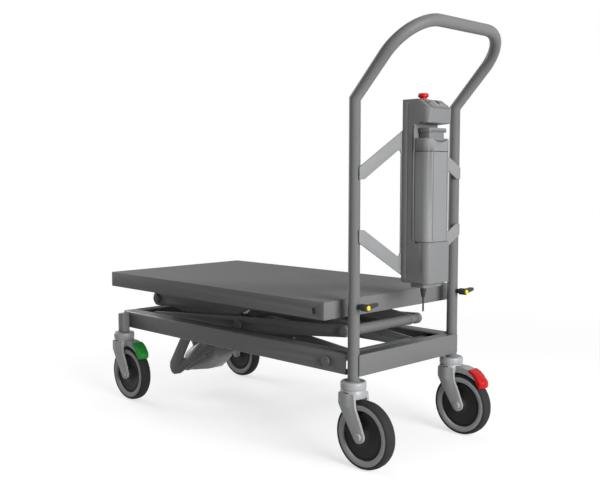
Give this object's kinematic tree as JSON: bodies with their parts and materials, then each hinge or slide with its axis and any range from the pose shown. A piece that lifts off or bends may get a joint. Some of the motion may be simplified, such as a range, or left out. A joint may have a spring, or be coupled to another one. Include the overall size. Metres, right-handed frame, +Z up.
{
  "type": "lifting trolley",
  "caption": "Mobile lifting trolley: a table on a two-stage electric scissor lift, with swivel castors, brake pedals, a push handle and a battery control unit.",
  "frame": {"origin": "on the floor under the centre of the outline", "axes": "+X towards the push handle, +Y across, +Z up"},
  "size_m": [1.122, 0.5006, 1.028],
  "materials": {
    "frame_rail_left": "satin grey powder coat",
    "frame_rail_right": "satin grey powder coat",
    "crossbar_front": "satin grey powder coat",
    "crossbar_rear": "satin grey powder coat",
    "front_post_left": "light grey satin coat",
    "front_post_right": "light grey satin coat",
    "handle": "satin grey powder coat",
    "control_bracket": "light grey satin coat",
    "control_box": "grey textured moulding",
    "cable_boot": "grey textured moulding",
    "keypad_panel": "light grey membrane",
    "pivot_shaft": "dark satin coat",
    "castor_head_front_left": "light grey painted casting",
    "castor_head_front_right": "light grey painted casting",
    "castor_head_rear_left": "light grey painted casting",
    "castor_head_rear_right": "light grey painted casting",
    "lower_inner_arm_left": "satin grey powder coat",
    "lower_inner_arm_right": "satin grey powder coat",
    "left_knuckle_shaft": "dark satin coat",
    "ear_bracket": "dark satin coat",
    "lower_outer_arm_left": "satin grey powder coat",
    "lower_outer_arm_right": "satin grey powder coat",
    "lower_centre_shaft": "dark satin coat",
    "right_knuckle_shaft": "dark satin coat",
    "actuator_hanger": "satin grey powder coat",
    "upper_outer_arm_left": "satin grey powder coat",
    "upper_outer_arm_right": "satin grey powder coat",
    "upper_stiffener": "satin grey powder coat",
    "upper_centre_shaft": "dark satin coat",
    "upper_inner_arm_left": "satin grey powder coat",
    "upper_inner_arm_right": "satin grey powder coat",
    "upper_tie_tube": "dark satin coat",
    "table": "satin grey powder coat",
    "table_rail_left": "satin grey powder coat",
    "table_rail_right": "satin grey powder coat",
    "table_pivot_shaft": "dark satin coat",
    "actuator_body": "light grey satin coat",
    "actuator_motor": "light grey satin coat",
    "actuator_rod": "light grey satin coat",
    "frame_roller_left": "black moulded roller",
    "table_roller_left": "black moulded roller",
    "clamp_lever_left": "black moulding",
    "clamp_button_left": "yellow moulding",
    "frame_roller_right": "black moulded roller",
    "table_roller_right": "black moulded roller",
    "clamp_lever_right": "black moulding",
    "clamp_button_right": "yellow moulding",
    "castor_fork_front_left": "light grey painted casting",
    "castor_wheel_front_left": "black rubber tyre",
    "castor_fork_front_right": "light grey painted casting",
    "castor_wheel_front_right": "black rubber tyre",
    "castor_fork_rear_left": "light grey painted casting",
    "castor_wheel_rear_left": "black rubber tyre",
    "castor_fork_rear_right": "light grey painted casting",
    "castor_wheel_rear_right": "black rubber tyre",
    "pedal_green": "green moulding",
    "pedal_red": "red moulding",
    "battery": "grey textured moulding",
    "battery_latch": "grey textured moulding",
    "emergency_stop": "red moulding"
  },
  "bodies": {
    "frame": {"frame_rail_left": "frame_rail_left", "frame_rail_right": "frame_rail_right", "crossbar_front": "crossbar_front", "crossbar_rear": "crossbar_rear", "front_post_left": "front_post_left", "front_post_right": "front_post_right", "handle": "handle", "control_bracket": "control_bracket", "control_box": "control_box", "cable_boot": "cable_boot", "keypad_panel": "keypad_panel", "pivot_shaft": "pivot_shaft", "castor_head_front_left": "castor_head_front_left", "castor_head_front_right": "castor_head_front_right", "castor_head_rear_left": "castor_head_rear_left", "castor_head_rear_right": "castor_head_rear_right"},
    "lower_inner": {"lower_inner_arm_left": "lower_inner_arm_left", "lower_inner_arm_right": "lower_inner_arm_right", "left_knuckle_shaft": "left_knuckle_shaft", "ear_bracket": "ear_bracket"},
    "lower_outer": {"lower_outer_arm_left": "lower_outer_arm_left", "lower_outer_arm_right": "lower_outer_arm_right", "lower_centre_shaft": "lower_centre_shaft", "right_knuckle_shaft": "right_knuckle_shaft", "actuator_hanger": "actuator_hanger"},
    "upper_outer": {"upper_outer_arm_left": "upper_outer_arm_left", "upper_outer_arm_right": "upper_outer_arm_right", "upper_stiffener": "upper_stiffener", "upper_centre_shaft": "upper_centre_shaft"},
    "upper_inner": {"upper_inner_arm_left": "upper_inner_arm_left", "upper_inner_arm_right": "upper_inner_arm_right", "upper_tie_tube": "upper_tie_tube"},
    "lifting_table": {"table": "table", "table_rail_left": "table_rail_left", "table_rail_right": "table_rail_right", "table_pivot_shaft": "table_pivot_shaft"},
    "actuator": {"actuator_body": "actuator_body", "actuator_motor": "actuator_motor"},
    "actuator_piston": {"actuator_rod": "actuator_rod"},
    "frame_roller_left": {"frame_roller_left": "frame_roller_left"},
    "table_roller_left": {"table_roller_left": "table_roller_left"},
    "clamp_left": {"clamp_lever_left": "clamp_lever_left"},
    "clamp_press_left": {"clamp_button_left": "clamp_button_left"},
    "frame_roller_right": {"frame_roller_right": "frame_roller_right"},
    "table_roller_right": {"table_roller_right": "table_roller_right"},
    "clamp_right": {"clamp_lever_right": "clamp_lever_right"},
    "clamp_press_right": {"clamp_button_right": "clamp_button_right"},
    "fork_front_left": {"castor_fork_front_left": "castor_fork_front_left"},
    "wheel_front_left": {"castor_wheel_front_left": "castor_wheel_front_left"},
    "fork_front_right": {"castor_fork_front_right": "castor_fork_front_right"},
    "wheel_front_right": {"castor_wheel_front_right": "castor_wheel_front_right"},
    "fork_rear_left": {"castor_fork_rear_left": "castor_fork_rear_left"},
    "wheel_rear_left": {"castor_wheel_rear_left": "castor_wheel_rear_left"},
    "fork_rear_right": {"castor_fork_rear_right": "castor_fork_rear_right"},
    "wheel_rear_right": {"castor_wheel_rear_right": "castor_wheel_rear_right"},
    "brake_green": {"pedal_green": "pedal_green"},
    "brake_red": {"pedal_red": "pedal_red"},
    "battery_pack": {"battery": "battery"},
    "latch": {"battery_latch": "battery_latch"},
    "stop_button": {"emergency_stop": "emergency_stop"}
  },
  "joints": [
    {"name": "lift", "type": "hinge", "parent": "frame", "child": "lower_inner", "pos_m": [0.315, 0, 0.2375], "axis": [0, 1, 0], "range_deg": [0, 52.77]},
    {"name": "lower_cross", "type": "hinge", "parent": "lower_inner", "child": "lower_outer", "pos_m": [-0.07627, 0, 0.2685], "axis": [0, 1, 0], "range_deg": [-105.56, 0]},
    {"name": "left_knuckle", "type": "hinge", "parent": "lower_inner", "child": "upper_outer", "pos_m": [-0.46755, 0, 0.2995], "axis": [0, 1, 0], "range_deg": [-105.56, 0]},
    {"name": "upper_cross", "type": "hinge", "parent": "upper_outer", "child": "upper_inner", "pos_m": [-0.07627, 0, 0.3305], "axis": [0, 1, 0], "range_deg": [0, 105.56]},
    {"name": "table_pivot", "type": "hinge", "parent": "upper_outer", "child": "lifting_table", "pos_m": [0.315, 0, 0.3615], "axis": [0, 1, 0], "range_deg": [0, 52.79]},
    {"name": "actuator_pivot", "type": "hinge", "parent": "lower_outer", "child": "actuator", "pos_m": [-0.47668, 0, 0.07427], "axis": [0, 1, 0], "range_deg": [0, 5]},
    {"name": "actuator_stroke", "type": "slide", "parent": "actuator", "child": "actuator_piston", "axis": [0.7914, 0, 0.6114], "range_m": [0, 0.17956]},
    {"name": "frame_roller_left_spin", "type": "hinge", "parent": "lower_outer", "child": "frame_roller_left", "pos_m": [-0.46755, -0.184, 0.2375], "axis": [0, 1, 0], "continuous": true},
    {"name": "table_roller_left_spin", "type": "hinge", "parent": "upper_inner", "child": "table_roller_left", "pos_m": [-0.46755, -0.16, 0.3615], "axis": [0, 1, 0], "continuous": true},
    {"name": "frame_roller_right_spin", "type": "hinge", "parent": "lower_outer", "child": "frame_roller_right", "pos_m": [-0.46755, 0.184, 0.2375], "axis": [0, 1, 0], "continuous": true},
    {"name": "table_roller_right_spin", "type": "hinge", "parent": "upper_inner", "child": "table_roller_right", "pos_m": [-0.46755, 0.16, 0.3615], "axis": [0, 1, 0], "continuous": true},
    {"name": "swivel_front_left", "type": "hinge", "parent": "frame", "child": "fork_front_left", "pos_m": [-0.519, -0.2193, 0.18], "axis": [0, 0, 1], "continuous": true},
    {"name": "roll_front_left", "type": "hinge", "parent": "fork_front_left", "child": "wheel_front_left", "pos_m": [-0.481, -0.2193, 0.08], "axis": [0, 1, 0], "continuous": true},
    {"name": "swivel_front_right", "type": "hinge", "parent": "frame", "child": "fork_front_right", "pos_m": [-0.519, 0.2193, 0.18], "axis": [0, 0, 1], "continuous": true},
    {"name": "roll_front_right", "type": "hinge", "parent": "fork_front_right", "child": "wheel_front_right", "pos_m": [-0.481, 0.2193, 0.08], "axis": [0, 1, 0], "continuous": true},
    {"name": "swivel_rear_left", "type": "hinge", "parent": "frame", "child": "fork_rear_left", "pos_m": [0.3905, -0.194, 0.18], "axis": [0, 0, 1], "continuous": true},
    {"name": "roll_rear_left", "type": "hinge", "parent": "fork_rear_left", "child": "wheel_rear_left", "pos_m": [0.4285, -0.194, 0.08], "axis": [0, 1, 0], "continuous": true},
    {"name": "swivel_rear_right", "type": "hinge", "parent": "frame", "child": "fork_rear_right", "pos_m": [0.3905, 0.194, 0.18], "axis": [0, 0, 1], "continuous": true},
    {"name": "roll_rear_right", "type": "hinge", "parent": "fork_rear_right", "child": "wheel_rear_right", "pos_m": [0.4285, 0.194, 0.08], "axis": [0, 1, 0], "continuous": true},
    {"name": "pedal_green_hinge", "type": "hinge", "parent": "fork_front_left", "child": "brake_green", "pos_m": [-0.485, -0.2193, 0.171], "axis": [0, 1, 0], "range_deg": [0, 2.5]},
    {"name": "pedal_red_hinge", "type": "hinge", "parent": "fork_rear_right", "child": "brake_red", "pos_m": [0.4245, 0.194, 0.171], "axis": [0, 1, 0], "range_deg": [0, 2.5]},
    {"name": "battery_slide", "type": "slide", "parent": "frame", "child": "battery_pack", "axis": [1, 0, 0], "range_m": [0, 0.06]},
    {"name": "latch_pull", "type": "slide", "parent": "frame", "child": "latch", "axis": [1, 0, 0], "range_m": [0, 0.01], "stiffness_N_per_m": 300},
    {"name": "stop_press", "type": "slide", "parent": "frame", "child": "stop_button", "axis": [0, 0, -1], "range_m": [0, 0.0045], "stiffness_N_per_m": 600},
    {"name": "clamp_turn_left", "type": "hinge", "parent": "frame", "child": "clamp_left", "pos_m": [0.4048, -0.194, 0.375], "axis": [1, 0, 0], "range_deg": [0, 90]},
    {"name": "clamp_push_left", "type": "slide", "parent": "clamp_left", "child": "clamp_press_left", "axis": [-1, 0, 0], "range_m": [0, 0.0025], "stiffness_N_per_m": 250},
    {"name": "clamp_turn_right", "type": "hinge", "parent": "frame", "child": "clamp_right", "pos_m": [0.4048, 0.194, 0.375], "axis": [1, 0, 0], "range_deg": [0, 90]},
    {"name": "clamp_push_right", "type": "slide", "parent": "clamp_right", "child": "clamp_press_right", "axis": [-1, 0, 0], "range_m": [0, 0.0025], "stiffness_N_per_m": 250}
  ],
  "couplings": [
    {"joint": "lower_cross", "follows": "lift", "ratio": -2},
    {"joint": "left_knuckle", "follows": "lift", "ratio": -2},
    {"joint": "upper_cross", "follows": "lift", "ratio": 2},
    {"joint": "table_pivot", "follows": "lift", "ratio": 1},
    {"joint": "actuator_pivot", "follows": "lift", "ratio": 0.094747},
    {"joint": "actuator_stroke", "follows": "lift", "m_per_rad": 0.19476}
  ]
}
